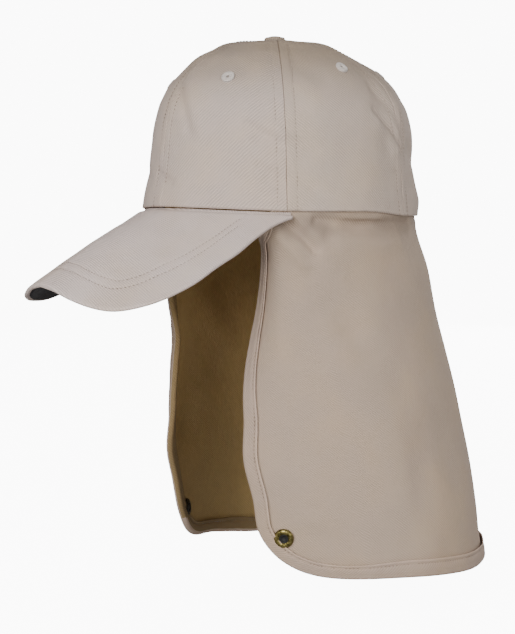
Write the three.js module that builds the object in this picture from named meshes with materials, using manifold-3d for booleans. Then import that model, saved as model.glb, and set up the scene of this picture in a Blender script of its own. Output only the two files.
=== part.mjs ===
// A legionnaire cap: a crown of six cloth panels with eyelets and a top button, a stiff peak
// with a dark underside, and a long neck flap with bound edges and a snap at each front corner.
// Millimetres, +Z up. The origin is the middle of the head opening, in the plane of the crown's
// rim. The peak points along -Y and the wearer's left is +X.
import * as THREE from 'three';
import Module from 'manifold-3d';

const wasm = await Module();
wasm.setup();

const degrees = Math.PI / 180;

// Crown
const headWidth = 166;
const headLength = 206;
const crownHeight = 118.3;
const panelWall = 1.5;
const apexForward = 5;
const rimRiseAhead = 3.2;
const rimRiseSpread = 75 * degrees;
const rimDropBehind = 3;
const rimDropStarts = 95 * degrees;
const rimDropEnds = 125 * degrees;
const crownFoldDepth = 3;
const pieceGap = 0.3;
const seamAngles = [0, 62.3, 121, 180].map((angle) => angle * degrees);
const panelColumns = 9;

// Eyelets and top button
const eyeletSpots = [
  { name: 'front', across: 0.54, row: 7.36 },
  { name: 'side', across: 0.62, row: 8.66 },
  { name: 'back', across: 0.50, row: 8.66 },
];
const eyeletBore = 4.4;
const eyeletHole = 2.2;
const eyeletWidth = 9;
const eyeletRim = 0.9;
const eyeletSeat = 0.6;
const eyeletSides = 10;
const buttonWidth = 14;
const buttonHeight = 4;
const buttonEdge = 1.2;
const shankWidth = 2.6;
const shankClearance = 0.4;
const buttonSides = 20;
const washerWidth = 8;
const washerThickness = 1;

// Peak
const peakHalfAngle = 64 * degrees;
const peakLength = 88.5;
const peakSideReach = 38;
const peakDrop = 62;
const peakBulge = 3;
const peakThickness = 2.4;
const undersideThickness = 1;
const undersideInset = 3;
const leastPeakShare = 0.3;
const peakRows = 6;

// Neck flap
const flapStart = 54 * degrees;
const flapDrop = 244;
const hemSag = 4.5;
const hemSagStarts = 75 * degrees;
const hemSagEnds = 120 * degrees;
const flapThickness = 1;
const flapLapRow = 1;
const flapLapGap = 0.7;
const flapSideFlare = 26.8;
const flapDeepening = 9;
const flapBackSet = 49.5;
const edgeInward = 30;
const edgeAhead = 33.5;
const cornerRise = 24;
const cornerSpread = 19 * degrees;
const flapFoldDepth = 3;
const flapColumns = 20;

// Binding and snaps
const bindingWidth = 10.5;
const bindingCloth = 1;
const snapFromEdge = 23.3;
const snapRow = 9.73;
const snapWidth = 13.4;
const snapHeight = 2.2;
const snapHole = 3.4;
const postWidth = 4.4;
const postClearance = 0.4;
const socketWidth = 12.4;
const socketThickness = 1.8;
const socketChamfer = 0.6;
const snapSides = 16;
const boreSides = 16;
const snapSeat = 0.6;

const halfWidth = headWidth / 2 + panelWall;
const halfLength = headLength / 2 + panelWall;
const apexShare = (shankWidth / 2 + shankClearance) / halfWidth;

// Crown sections from the rim to the top: shares of the height and of the rim's half sizes
const crownSections = [
  { height: 0.000, front: 0.974, back: 1.003 },
  { height: 0.075, front: 0.962, back: 0.988 },
  { height: 0.185, front: 0.935, back: 0.981 },
  { height: 0.376, front: 0.905, back: 0.978 },
  { height: 0.491, front: 0.885, back: 0.971 },
  { height: 0.607, front: 0.845, back: 0.939 },
  { height: 0.669, front: 0.808, back: 0.900 },
  { height: 0.731, front: 0.762, back: 0.856 },
  { height: 0.784, front: 0.705, back: 0.800 },
  { height: 0.842, front: 0.635, back: 0.718 },
  { height: 0.895, front: 0.560, back: 0.605 },
  { height: 0.942, front: 0.455, back: 0.500 },
  { height: 0.975, front: 0.385, back: 0.400 },
  { height: 0.994, front: 0.270, back: 0.250 },
  { height: 1.000, front: apexShare, back: apexShare },
];

// Folds of the crown: angle from the front and spread in degrees, place and spread as shares of
// the height, and how far the cloth stands out as a share of the fold depth
const crownFolds = [
  { angle: 112, wide: 5, height: 0.55, tall: 0.22, out: -0.8 },
  { angle: 126, wide: 6, height: 0.60, tall: 0.20, out: 0.6 },
  { angle: 148, wide: 14, height: 0.30, tall: 0.07, out: -0.5 },
  { angle: 140, wide: 18, height: 0.09, tall: 0.07, out: 0.4 },
];

// Outer edge of the peak from its middle to its end, set off from the crown's rim: shares of
// the side reach, the length and the drop
const peakEdge = [
  { side: 0.00, ahead: 1.00, drop: 0.84 },
  { side: 0.24, ahead: 0.99, drop: 0.87 },
  { side: 0.44, ahead: 0.96, drop: 0.93 },
  { side: 0.62, ahead: 0.90, drop: 0.98 },
  { side: 0.78, ahead: 0.84, drop: 1.00 },
  { side: 0.90, ahead: 0.75, drop: 0.95 },
  { side: 0.94, ahead: 0.65, drop: 0.86 },
  { side: 0.88, ahead: 0.53, drop: 0.73 },
  { side: 0.76, ahead: 0.42, drop: 0.57 },
  { side: 0.60, ahead: 0.31, drop: 0.43 },
  { side: 0.40, ahead: 0.20, drop: 0.26 },
  { side: 0.21, ahead: 0.10, drop: 0.13 },
  { side: 0.08, ahead: 0.01, drop: 0.05 },
];

// Sections of the flap from the rim to the hem: share of the drop, then shares of the side
// flare, the deepening, the set back, and of how far the front edge lies inward and ahead
const flapSections = [
  { level: 0.000, flare: 0.00, deepen: 0.00, back: 0.00, inward: 0.00, ahead: 0.00 },
  { level: 0.035, flare: -0.03, deepen: 0.10, back: 0.00, inward: 0.00, ahead: 0.03 },
  { level: 0.080, flare: -0.02, deepen: 0.50, back: 0.00, inward: 0.02, ahead: 0.00 },
  { level: 0.150, flare: 0.09, deepen: 0.70, back: 0.08, inward: 0.22, ahead: 0.01 },
  { level: 0.270, flare: 0.24, deepen: 0.92, back: 0.20, inward: 0.53, ahead: 0.15 },
  { level: 0.380, flare: 0.40, deepen: 1.00, back: 0.34, inward: 0.81, ahead: 0.40 },
  { level: 0.500, flare: 0.57, deepen: 0.98, back: 0.50, inward: 0.96, ahead: 0.73 },
  { level: 0.620, flare: 0.68, deepen: 0.92, back: 0.64, inward: 0.97, ahead: 0.97 },
  { level: 0.735, flare: 0.80, deepen: 0.84, back: 0.77, inward: 1.07, ahead: 1.17 },
  { level: 0.850, flare: 0.91, deepen: 0.76, back: 0.88, inward: 1.07, ahead: 1.16 },
  { level: 0.940, flare: 0.96, deepen: 0.70, back: 0.94, inward: 1.11, ahead: 1.14 },
  { level: 1.000, flare: 1.00, deepen: 0.70, back: 1.00, inward: 1.03, ahead: 1.04 },
];

// Folds of the flap: as the crown's, with the place down the flap as a share of its drop
const flapFolds = [
  { angle: 100, wide: 26, height: 0.020, tall: 0.008, out: 0.5 },
  { angle: 100, wide: 22, height: 0.050, tall: 0.020, out: -0.6 },
  { angle: 84, wide: 7, height: 0.320, tall: 0.120, out: -0.8 },
  { angle: 112, wide: 9, height: 0.620, tall: 0.160, out: -0.6 },
];

const stone = { color: 0xc4b09c, roughness: 0.9, metalness: 0 };
const thread = { color: 0xcfc8cc, roughness: 0.8, metalness: 0 };
const black = { color: 0x17151a, roughness: 0.9, metalness: 0 };
const brass = { color: 0x7d6a3c, roughness: 0.4, metalness: 0.9 };

const cap = new THREE.Group();

function addPiece(name, look, geometry) {
  const mesh = new THREE.Mesh(geometry, new THREE.MeshStandardMaterial(look));
  mesh.name = name;
  cap.add(mesh);
  return mesh;
}

// A row of a table at any place between its rows, on a smooth curve through them
function rowAt(table, place) {
  const last = table.length - 1;
  const row = Math.max(0, Math.min(Math.floor(place), last - 1));
  const t = place - row;
  const value = {};
  for (const name of Object.keys(table[0])) {
    const [a, b, c, d] = [-1, 0, 1, 2].map((step) => table[Math.max(0, Math.min(row + step, last))][name]);
    value[name] = b + 0.5 * t * (c - a + t * (2 * a - 5 * b + 4 * c - d + t * (3 * (b - c) + d - a)));
  }
  return value;
}

function smoothShare(value, from, to) {
  const t = Math.max(0, Math.min((value - from) / (to - from), 1));
  return t * t * (3 - 2 * t);
}

function foldShare(folds, angle, height) {
  let sum = 0;
  for (const fold of folds) {
    const side = (Math.abs(angle) / degrees - fold.angle) / fold.wide;
    const up = (height - fold.height) / fold.tall;
    sum += fold.out * Math.exp(-side * side - up * up);
  }
  return sum;
}

// The outward unit normal of a surface whose first value runs round to the wearer's left and
// whose second value runs up
function normalAt(surface, u, v) {
  const step = 0.002;
  const across = surface(u + step, v).sub(surface(u - step, v));
  const up = surface(u, v + step).sub(surface(u, v - step));
  return across.cross(up).normalize();
}

// Adds a four-sided face, split along its shorter diagonal
function addQuad(points, faces, a, b, c, d) {
  if (points[a].distanceTo(points[c]) < points[b].distanceTo(points[d])) {
    faces.push(a, b, c, a, c, d);
  } else {
    faces.push(a, b, d, b, c, d);
  }
}

// A closed solid between two grids of points with the same rows and columns
function sheetSolid(outer, inner) {
  const rows = outer.length;
  const columns = outer[0].length;
  const points = [...outer.flat(), ...inner.flat()];
  const faces = [];
  const outside = (row, column) => row * columns + column;
  const inside = (row, column) => rows * columns + row * columns + column;
  const quad = (a, b, c, d) => addQuad(points, faces, a, b, c, d);
  for (let row = 0; row < rows - 1; row += 1) {
    for (let column = 0; column < columns - 1; column += 1) {
      quad(outside(row, column), outside(row, column + 1),
        outside(row + 1, column + 1), outside(row + 1, column));
      quad(inside(row, column), inside(row + 1, column),
        inside(row + 1, column + 1), inside(row, column + 1));
    }
    quad(inside(row, 0), outside(row, 0), outside(row + 1, 0), inside(row + 1, 0));
    quad(outside(row, columns - 1), inside(row, columns - 1),
      inside(row + 1, columns - 1), outside(row + 1, columns - 1));
  }
  for (let column = 0; column < columns - 1; column += 1) {
    quad(inside(0, column), inside(0, column + 1), outside(0, column + 1), outside(0, column));
    quad(outside(rows - 1, column), outside(rows - 1, column + 1),
      inside(rows - 1, column + 1), inside(rows - 1, column));
  }
  return indexedGeometry(points, faces);
}

function indexedGeometry(points, faces) {
  const geometry = new THREE.BufferGeometry();
  const numbers = points.flatMap((point) => point.toArray());
  geometry.setAttribute('position', new THREE.Float32BufferAttribute(numbers, 3));
  geometry.setIndex(faces);
  return geometry;
}

function toManifold(geometry) {
  return new wasm.Manifold(new wasm.Mesh({
    numProp: 3,
    vertProperties: new Float32Array(geometry.attributes.position.array),
    triVerts: new Uint32Array(geometry.index.array),
  }));
}

// Cuts a round hole through a closed indexed geometry, along a normal at a point
function bored(geometry, point, normal, width, depth) {
  const ring = Array.from({ length: boreSides }, (_, n) => n * 2 * Math.PI / boreSides);
  const turn = new THREE.Quaternion().setFromUnitVectors(new THREE.Vector3(0, 0, 1), normal);
  const points = [-depth, depth].flatMap((height) => ring.map((angle) => new THREE.Vector3(
    Math.cos(angle) * width / 2, Math.sin(angle) * width / 2, height).applyQuaternion(turn).add(point)));
  const faces = [];
  for (let n = 0; n < boreSides; n += 1) {
    const next = (n + 1) % boreSides;
    faces.push(n, next, boreSides + next, n, boreSides + next, boreSides + n);
    if (n > 0 && n < boreSides - 1) {
      faces.push(0, n + 1, n, boreSides, boreSides + n, boreSides + n + 1);
    }
  }
  const cut = toManifold(geometry).subtract(toManifold(indexedGeometry(points, faces)));
  const mesh = cut.getMesh();
  const result = new THREE.BufferGeometry();
  result.setAttribute('position', new THREE.Float32BufferAttribute(mesh.vertProperties, 3));
  result.setIndex([...mesh.triVerts]);
  return result;
}

// A turned piece with its axis along +Z, seated at a point and facing along a normal
function addTurned(name, look, profile, sides, point, normal) {
  const outline = profile.map(([radius, height]) => new THREE.Vector2(radius, height));
  const geometry = new THREE.LatheGeometry(outline, sides).rotateX(Math.PI / 2);
  const mesh = addPiece(name, look, geometry);
  mesh.position.copy(point);
  mesh.quaternion.setFromUnitVectors(new THREE.Vector3(0, 0, 1), normal);
}

function rimLevel(angle) {
  const rise = rimRiseAhead * (1 - smoothShare(Math.abs(angle), 0, rimRiseSpread));
  return rise - rimDropBehind * smoothShare(Math.abs(angle), rimDropStarts, rimDropEnds);
}

// Outside of the crown at an angle from the front and at a place among its sections
function crownPoint(angle, place) {
  const section = rowAt(crownSections, place);
  const toFront = (1 + Math.cos(angle)) / 2;
  const fold = foldShare(crownFolds, angle, section.height) * crownFoldDepth / halfLength;
  const radius = section.back + (section.front - section.back) * toFront + fold;
  return new THREE.Vector3(
    halfWidth * radius * Math.sin(angle),
    -halfLength * radius * Math.cos(angle) - apexForward * section.height ** 2,
    crownHeight * section.height + rimLevel(angle) * (1 - section.height) ** 2,
  );
}

// A point under the crown's outside, measured square to the cloth, and level with it at the rim
function crownInside(angle, place, depth) {
  const normal = normalAt(crownPoint, angle, place);
  if (place < 1) {
    normal.z *= place;
    normal.normalize();
  }
  return crownPoint(angle, place).addScaledVector(normal, -depth);
}

function addCrown() {
  for (const side of [{ name: 'left', sign: 1 }, { name: 'right', sign: -1 }]) {
    for (const [panel, spot] of eyeletSpots.entries()) {
      const [front, back] = [seamAngles[panel], seamAngles[panel + 1]];
      addPanel(`${spot.name}_${side.name}`, side.sign * front, side.sign * back, spot);
    }
  }
}

// One panel between two seams, with its eyelet
function addPanel(name, frontSeam, backSeam, eyelet) {
  const start = Math.min(frontSeam, backSeam);
  const end = Math.max(frontSeam, backSeam);
  const angleAt = (column, place) => {
    const share = column / panelColumns;
    const angle = start + (end - start) * share;
    const across = crownPoint(angle, place).setZ(0).length();
    return angle + (0.5 - share) * pieceGap / across;
  };
  const grid = (depth) => crownSections.map((_, place) => Array.from({ length: panelColumns + 1 },
    (__, column) => crownInside(angleAt(column, place), place, depth)));
  const cloth = sheetSolid(grid(0), grid(panelWall));
  const angle = frontSeam + (backSeam - frontSeam) * eyelet.across;
  const normal = normalAt(crownPoint, angle, eyelet.row);
  const point = crownPoint(angle, eyelet.row);
  addPiece(`crown_panel_${name}`, stone, bored(cloth, point, normal, eyeletBore, eyeletWidth));
  addTurned(`eyelet_${name}`, thread, eyeletProfile(), eyeletSides, point, normal);
}

// A ring that grips the cloth from both sides through its hole
function eyeletProfile() {
  const hole = eyeletHole / 2;
  const sleeve = eyeletBore / 2 - pieceGap;
  const edge = eyeletWidth / 2;
  const face = eyeletSeat;
  const inner = -panelWall - eyeletSeat;
  return [
    [hole, inner - eyeletRim], [edge, inner - eyeletRim], [edge, inner], [sleeve, inner],
    [sleeve, face], [edge, face], [edge - eyeletRim / 2, face + eyeletRim],
    [hole, face + eyeletRim], [hole, inner - eyeletRim],
  ];
}

function addButton() {
  const last = crownSections.length - 1;
  const top = crownPoint(0, last).setX(0).setY(-apexForward);
  const washerTop = -panelWall - pieceGap;
  const dome = [0, 0.3, 0.55, 0.78, 1].map((share) => [
    buttonWidth / 2 * Math.cos(share * Math.PI / 2),
    pieceGap + buttonEdge + (buttonHeight - buttonEdge) * Math.sin(share * Math.PI / 2),
  ]);
  dome[dome.length - 1][0] = 0;
  addTurned('top_button', stone, [
    [0, washerTop - washerThickness], [washerWidth / 2, washerTop - washerThickness],
    [washerWidth / 2, washerTop], [shankWidth / 2, washerTop],
    [shankWidth / 2, pieceGap], [buttonWidth / 2, pieceGap], ...dome,
  ], buttonSides, top, new THREE.Vector3(0, 0, 1));
}

// Top of the peak: the share runs from the wearer's right end at -1 to the left end at 1, and
// out runs from the crown's rim at 0 to the edge at 1. The cloth bulges up a little on the way.
function peakPoint(share, out) {
  const rim = crownPoint(share * peakHalfAngle, 0);
  rim.z -= pieceGap;
  const edge = rowAt(peakEdge, Math.abs(share) * (peakEdge.length - 1));
  rim.z += 4 * peakBulge * edge.ahead ** 2 * out * (1 - out);
  const reach = new THREE.Vector3(Math.sign(share) * edge.side * peakSideReach,
    -edge.ahead * peakLength, -edge.drop * peakDrop);
  return rim.addScaledVector(reach, out);
}

function underPeak(share, out, depth) {
  const normal = normalAt((u, v) => peakPoint(u, -v), share, -out);
  return peakPoint(share, out).addScaledVector(normal, -depth);
}

// Shares of the way out at which the peak's rows lie, ending short of the edge by an inset
function peakOut(share, row, inset) {
  const width = peakPoint(share, 1).distanceTo(peakPoint(share, 0));
  return row / peakRows * Math.max(1 - inset / width, leastPeakShare);
}

// A layer of the peak between two depths under its top, with a flat margin under the rim
function peakLayer(top, bottom, inset) {
  const last = 2 * (peakEdge.length - 1);
  const shares = Array.from({ length: last + 1 }, (_, column) => 2 * column / last - 1);
  const grid = (depth) => {
    const margin = shares.map((share) => crownInside(share * peakHalfAngle, 0, panelWall)
      .add(new THREE.Vector3(0, 0, -pieceGap - depth)));
    const rows = Array.from({ length: peakRows + 1 }, (_, row) => shares.map((share) => {
      const out = peakOut(share, row, inset);
      if (row > 0) {
        return underPeak(share, out, depth);
      }
      return peakPoint(share, 0).add(new THREE.Vector3(0, 0, -depth));
    }));
    return [margin, ...rows];
  };
  return sheetSolid(grid(bottom), grid(top));
}

function addPeak() {
  const underside = peakThickness + pieceGap;
  addPiece('peak', stone, peakLayer(0, peakThickness, 0));
  addPiece('peak_underside', black,
    peakLayer(underside, underside + undersideThickness, undersideInset));
}

// How far below the rim's plane the hem hangs at an angle: the front corners are rounded off,
// and the hem sags a little towards the back
function hemDepth(angle) {
  const corner = Math.min((angle - flapStart) / cornerSpread, 1);
  const sag = hemSag * smoothShare(angle, hemSagStarts, hemSagEnds);
  return flapDrop - cornerRise * (1 - corner) ** 3 + sag;
}

// Outside of the flap at an angle and at a place down its sections. Above the first section it
// runs up inside the crown, and beyond the back it mirrors.
function flapPoint(angle, place) {
  if (angle > Math.PI) {
    const twin = flapSide(2 * Math.PI - angle, place);
    return twin.setX(-twin.x);
  }
  return flapSide(angle, place);
}

function flapSide(angle, place) {
  const rim = crownInside(angle, 0, panelWall + flapLapGap);
  if (place < 0) {
    const top = crownInside(angle, flapLapRow, panelWall + flapLapGap);
    return rim.lerp(top, -place);
  }
  const section = rowAt(flapSections, place);
  const toEdge = Math.max(0, (Math.PI / 2 - angle) / (Math.PI / 2 - flapStart)) ** 2;
  const fold = foldShare(flapFolds, angle, section.level) * flapFoldDepth;
  const wide = 1 + (section.flare * flapSideFlare + fold) / (headWidth / 2);
  const long = 1 + (section.deepen * flapDeepening + fold) / (headLength / 2);
  return new THREE.Vector3(
    rim.x * wide - section.inward * edgeInward * toEdge,
    rim.y * long + section.back * flapBackSet - section.ahead * edgeAhead * toEdge,
    rim.z + (-hemDepth(angle) - rim.z) * section.level,
  );
}

function flapInside(angle, place, depth) {
  const normal = normalAt((u, v) => flapPoint(u, -v), angle, -place);
  if (place <= 0) {
    normal.setZ(0).normalize();
  }
  return flapPoint(angle, place).addScaledVector(normal, -depth);
}

// The angle that lies a length in from the flap's front edge
function angleInFromEdge(length, place) {
  const step = 0.01;
  const stride = flapPoint(flapStart + step, place).distanceTo(flapPoint(flapStart, place)) / step;
  return flapStart + length / stride;
}

// The place that lies the binding's width up from the hem
function placeAboveHem() {
  const last = flapSections.length - 1;
  const stride = (1 - flapSections[last - 1].level) * flapDrop;
  return last - bindingWidth / stride;
}

const hemRow = flapSections.length - 1;
const bandRow = placeAboveHem();

// Columns of the flap: its front edge, the binding's inner edge, then even steps to the back
function flapAngle(column, place) {
  if (column > flapColumns) {
    return 2 * Math.PI - flapAngle(2 * flapColumns - column, place);
  }
  const band = angleInFromEdge(bindingWidth, place);
  if (column < 2) {
    return flapStart + (band - flapStart) * column;
  }
  return band + (Math.PI - band) * (column - 1) / (flapColumns - 1);
}

function addFlap() {
  const places = [-1];
  for (let place = 0; place < hemRow; place += 1) {
    places.push(place);
  }
  places.push(bandRow, hemRow);
  const grid = (depth) => places.map((place) => Array.from({ length: 2 * flapColumns + 1 },
    (_, column) => flapInside(flapAngle(column, place), place, depth)));
  let cloth = sheetSolid(grid(flapThickness), grid(0));
  for (const { point, normal } of snapSeats()) {
    cloth = bored(cloth, point, normal, postWidth + 2 * postClearance, snapWidth);
  }
  addPiece('neck_flap', stone, cloth);
}

// Stations of the binding down the left edge, round the hem and up the right edge: each has a
// spot on the flap's edge and one at the binding's inner edge
function bindingStations() {
  const side = [];
  for (let place = 1; place < hemRow; place += 1) {
    side.push({ edge: [0, place], band: [1, place] });
  }
  side.push({ edge: [0, bandRow], band: [1, (bandRow + hemRow - 1) / 2] });
  side.push({ edge: [0, hemRow], band: [1, bandRow] });
  const hem = [{ edge: [1, hemRow], band: [1.5, bandRow] }];
  for (let column = 2; column <= 2 * flapColumns - 2; column += 1) {
    hem.push({ edge: [column, hemRow], band: [column, bandRow] });
  }
  hem.push({ edge: [2 * flapColumns - 1, hemRow], band: [2 * flapColumns - 1.5, bandRow] });
  const mirrored = side.toReversed().map(({ edge, band }) => ({
    edge: [2 * flapColumns - edge[0], edge[1]],
    band: [2 * flapColumns - band[0], band[1]],
  }));
  return [...side, ...hem, ...mirrored];
}

// The binding: a strip folded round the flap's free edge, with a wing on each face
function addBinding() {
  const outer = pieceGap + bindingCloth;
  const inner = flapThickness + pieceGap + bindingCloth;
  const spot = ([column, place], depth) => flapInside(flapAngle(column, place), place, depth);
  const rings = bindingStations().map(({ edge, band }) => {
    const past = (depth, length) => {
      const point = spot(edge, depth);
      const out = point.clone().sub(spot(band, depth)).normalize();
      return point.addScaledVector(out, length);
    };
    return [
      spot(band, -pieceGap), spot(band, -outer), past(-outer, outer), past(inner, outer),
      spot(band, inner), spot(band, flapThickness + pieceGap),
      past(flapThickness + pieceGap, pieceGap), past(-pieceGap, pieceGap),
    ];
  });
  const sides = rings[0].length;
  const points = rings.flat();
  const faces = [];
  for (let n = 0; n < rings.length - 1; n += 1) {
    for (let side = 0; side < sides; side += 1) {
      const [a, b] = [n * sides + side, n * sides + (side + 1) % sides];
      addQuad(points, faces, a, b, b + sides, a + sides);
    }
  }
  const end = (rings.length - 1) * sides;
  for (const [a, b, c] of [[0, 1, 2], [0, 2, 7], [7, 2, 3], [7, 3, 6], [6, 3, 4], [6, 4, 5]]) {
    faces.push(c, b, a, end + a, end + b, end + c);
  }
  addPiece('flap_binding', stone, indexedGeometry(points, faces));
}

// Where each snap goes through the flap, with the flap's normal there
function snapSeats() {
  const left = angleInFromEdge(snapFromEdge, snapRow);
  return [{ name: 'left', angle: left }, { name: 'right', angle: 2 * Math.PI - left }].map((seat) => ({
    name: seat.name,
    point: flapPoint(seat.angle, snapRow),
    normal: normalAt((u, v) => flapPoint(u, -v), seat.angle, -snapRow),
  }));
}

function addSnaps() {
  const base = pieceGap + snapSeat;
  const socketTop = -flapThickness - pieceGap - snapSeat;
  const [hole, post, edge] = [snapHole / 2, postWidth / 2, snapWidth / 2];
  const cap = [
    [hole, socketTop - socketThickness], [post, socketTop - socketThickness], [post, base],
    [edge, base], [edge, base + snapHeight * 0.4], [edge * 0.86, base + snapHeight * 0.9],
    [edge * 0.7, base + snapHeight], [edge * 0.5, base + snapHeight * 0.8],
    [edge * 0.4, base + snapHeight * 0.3], [hole, base + snapHeight * 0.3],
    [hole, socketTop - socketThickness],
  ];
  const bore = post + pieceGap;
  const socket = [
    [bore, socketTop - socketThickness], [socketWidth / 2 - socketChamfer, socketTop - socketThickness],
    [socketWidth / 2, socketTop - socketChamfer], [socketWidth / 2, socketTop], [bore, socketTop],
    [bore, socketTop - socketThickness],
  ];
  for (const { name, point, normal } of snapSeats()) {
    addTurned(`snap_${name}_cap`, brass, cap, snapSides, point, normal);
    addTurned(`snap_${name}_socket`, brass, socket, snapSides, point, normal);
  }
}

addCrown();
addButton();
addPeak();
addFlap();
addBinding();
addSnaps();

export default cap;
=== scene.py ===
# A legionnaire cap: six crown panels of twill with embroidered eyelets and a covered top
# button, a stitched peak with a black underside, and a bound neck flap with two snaps.
# Lengths are worked out in millimetres, in the frame of the CAD, and placed in metres.
import math

import bmesh
import bpy
import numpy as np
from mathutils import Matrix, Vector


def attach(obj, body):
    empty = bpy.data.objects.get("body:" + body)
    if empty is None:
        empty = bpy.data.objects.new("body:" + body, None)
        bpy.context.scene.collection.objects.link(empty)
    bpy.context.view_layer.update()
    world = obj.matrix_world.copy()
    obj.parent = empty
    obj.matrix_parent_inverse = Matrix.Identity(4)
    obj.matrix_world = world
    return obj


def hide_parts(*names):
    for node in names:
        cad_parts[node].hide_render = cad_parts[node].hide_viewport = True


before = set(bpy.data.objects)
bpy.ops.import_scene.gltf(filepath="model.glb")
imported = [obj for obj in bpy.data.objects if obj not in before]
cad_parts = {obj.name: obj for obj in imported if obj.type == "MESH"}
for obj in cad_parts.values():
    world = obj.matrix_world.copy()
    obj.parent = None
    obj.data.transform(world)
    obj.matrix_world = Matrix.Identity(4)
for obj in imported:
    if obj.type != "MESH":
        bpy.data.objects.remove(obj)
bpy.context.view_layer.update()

METRES = 0.001

# Sizes, as in the solids but for a fuller hem at its front corners
HEAD_WIDTH = 166
HEAD_LENGTH = 206
CROWN_HEIGHT = 118.3
PANEL_WALL = 1.5
APEX_FORWARD = 5
RIM_RISE_AHEAD = 3.2
RIM_RISE_SPREAD = math.radians(75)
RIM_DROP_BEHIND = 3
RIM_DROP_STARTS = math.radians(95)
RIM_DROP_ENDS = math.radians(125)
CROWN_FOLD_DEPTH = 3
PIECE_GAP = 0.3
SEAMS = [math.radians(angle) for angle in (0, 62.3, 121, 180)]
EYELETS = {"front": (0.54, 7.36), "side": (0.62, 8.66), "back": (0.50, 8.66)}
BUTTON_WIDTH = 14
SHANK_WIDTH = 2.6
SHANK_CLEARANCE = 0.4
PEAK_HALF_ANGLE = math.radians(64)
PEAK_LENGTH = 88.5
PEAK_SIDE_REACH = 38
PEAK_DROP = 62
PEAK_BULGE = 3
PEAK_THICKNESS = 2.4
FLAP_START = math.radians(54)
FLAP_DROP = 244
HEM_SAG = 4.5
HEM_SAG_STARTS = math.radians(75)
HEM_SAG_ENDS = math.radians(120)
FLAP_THICKNESS = 1
FLAP_LAP_GAP = 0.7
FLAP_SIDE_FLARE = 26.8
FLAP_DEEPENING = 9
FLAP_BACK_SET = 49.5
EDGE_INWARD = 30
EDGE_AHEAD = 33.5
CORNER_RISE = 20
CORNER_SPREAD = math.radians(26)
CORNER_POWER = 6
FLAP_FOLD_DEPTH = 3
BINDING_WIDTH = 10.5
BINDING_CLOTH = 1
SNAP_FROM_EDGE = 23.3
SNAP_ROW = 9.73
SNAP_WIDTH = 13.4
SNAP_SEAT = 0.6

# Sizes of the worn cap that the solids leave out, most of them at the wearer's right
PEAK_ROLL = 10
PEAK_ROLL_AT = -0.58
PEAK_ROLL_SPREAD = 0.16
PEAK_TIP_LIFT = 2.5
PEAK_TIP_AT = -0.3
PEAK_TIP_SPREAD = 0.1
FAR_HEM_SAG = 7
FAR_HEM_ANGLES = [math.radians(angle) for angle in (62, 90, 110, 165)]
FAR_CORNER_LIFT = 2
FAR_CORNER_AT = math.radians(66)
FAR_CORNER_SPREAD = math.radians(7)
FAR_BULGE = 6
FAR_BULGE_IN = math.radians(9)
FAR_CURL_SHARE = 0.6
FAR_CURL_LEVELS = (0.28, 0.42, 0.62, 0.80)
NEAR_CURL_LEVELS = (0.03, 0.12, 0.45, 0.85)
EDGE_CURL = 10
EDGE_CURL_SPREAD = math.radians(7.5)
DENT_DEPTH = 0.8
FLAP_RADIUS = 105
SNAP_CALM = 10

HALF_WIDTH = HEAD_WIDTH / 2 + PANEL_WALL
HALF_LENGTH = HEAD_LENGTH / 2 + PANEL_WALL
APEX_SHARE = (SHANK_WIDTH / 2 + SHANK_CLEARANCE) / HALF_WIDTH

# Height, and shares of the rim's half sizes at the front and the back
CROWN_SECTIONS = [
    (0.000, 0.974, 1.003), (0.075, 0.962, 0.988), (0.185, 0.935, 0.981), (0.376, 0.905, 0.978),
    (0.491, 0.885, 0.971), (0.607, 0.845, 0.939), (0.669, 0.808, 0.900), (0.731, 0.762, 0.856),
    (0.784, 0.705, 0.800), (0.842, 0.635, 0.718), (0.895, 0.560, 0.605), (0.942, 0.455, 0.500),
    (0.975, 0.385, 0.400), (0.994, 0.270, 0.250), (1.000, APEX_SHARE, APEX_SHARE),
]
# Folds: angle and spread in degrees, height and spread as shares, and how far the cloth
# stands out as a share of the fold depth
CROWN_FOLDS = [
    (112, 5, 0.55, 0.22, -0.8), (126, 6, 0.60, 0.20, 0.6),
    (148, 14, 0.30, 0.07, -0.5), (140, 18, 0.09, 0.07, 0.4),
]
# Side, ahead and drop from the middle of the peak's edge to its end. The middle is a little
# higher than the solid's.
PEAK_EDGE = [
    (0.00, 1.00, 0.79), (0.24, 0.99, 0.83), (0.44, 0.96, 0.91), (0.62, 0.90, 0.98),
    (0.78, 0.84, 1.00), (0.90, 0.75, 0.95), (0.94, 0.65, 0.86), (0.88, 0.53, 0.73),
    (0.76, 0.42, 0.57), (0.60, 0.31, 0.43), (0.40, 0.20, 0.26), (0.21, 0.10, 0.13),
    (0.08, 0.01, 0.05),
]
# Level, flare, deepening, set back, and how far the front edge lies inward and ahead
FLAP_SECTIONS = [
    (0.000, 0.00, 0.00, 0.00, 0.00, 0.00), (0.035, -0.03, 0.10, 0.00, 0.00, 0.03),
    (0.080, -0.02, 0.50, 0.00, 0.02, 0.00), (0.150, 0.09, 0.70, 0.08, 0.22, 0.01),
    (0.270, 0.24, 0.92, 0.20, 0.53, 0.15), (0.380, 0.40, 1.00, 0.34, 0.81, 0.40),
    (0.500, 0.57, 0.98, 0.50, 0.96, 0.73), (0.620, 0.68, 0.92, 0.64, 0.97, 0.97),
    (0.735, 0.80, 0.84, 0.77, 1.07, 1.17), (0.850, 0.91, 0.76, 0.88, 1.07, 1.16),
    (0.940, 0.96, 0.70, 0.94, 1.11, 1.14), (1.000, 1.00, 0.70, 1.00, 1.03, 1.04),
]
# The same, with the share of the way down as the height
FLAP_FOLDS = [
    (100, 26, 0.020, 0.008, 0.5), (100, 22, 0.050, 0.020, -0.6),
    (84, 7, 0.320, 0.120, -0.8), (112, 9, 0.620, 0.160, -0.6),
]
HEM_ROW = len(FLAP_SECTIONS) - 1

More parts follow.
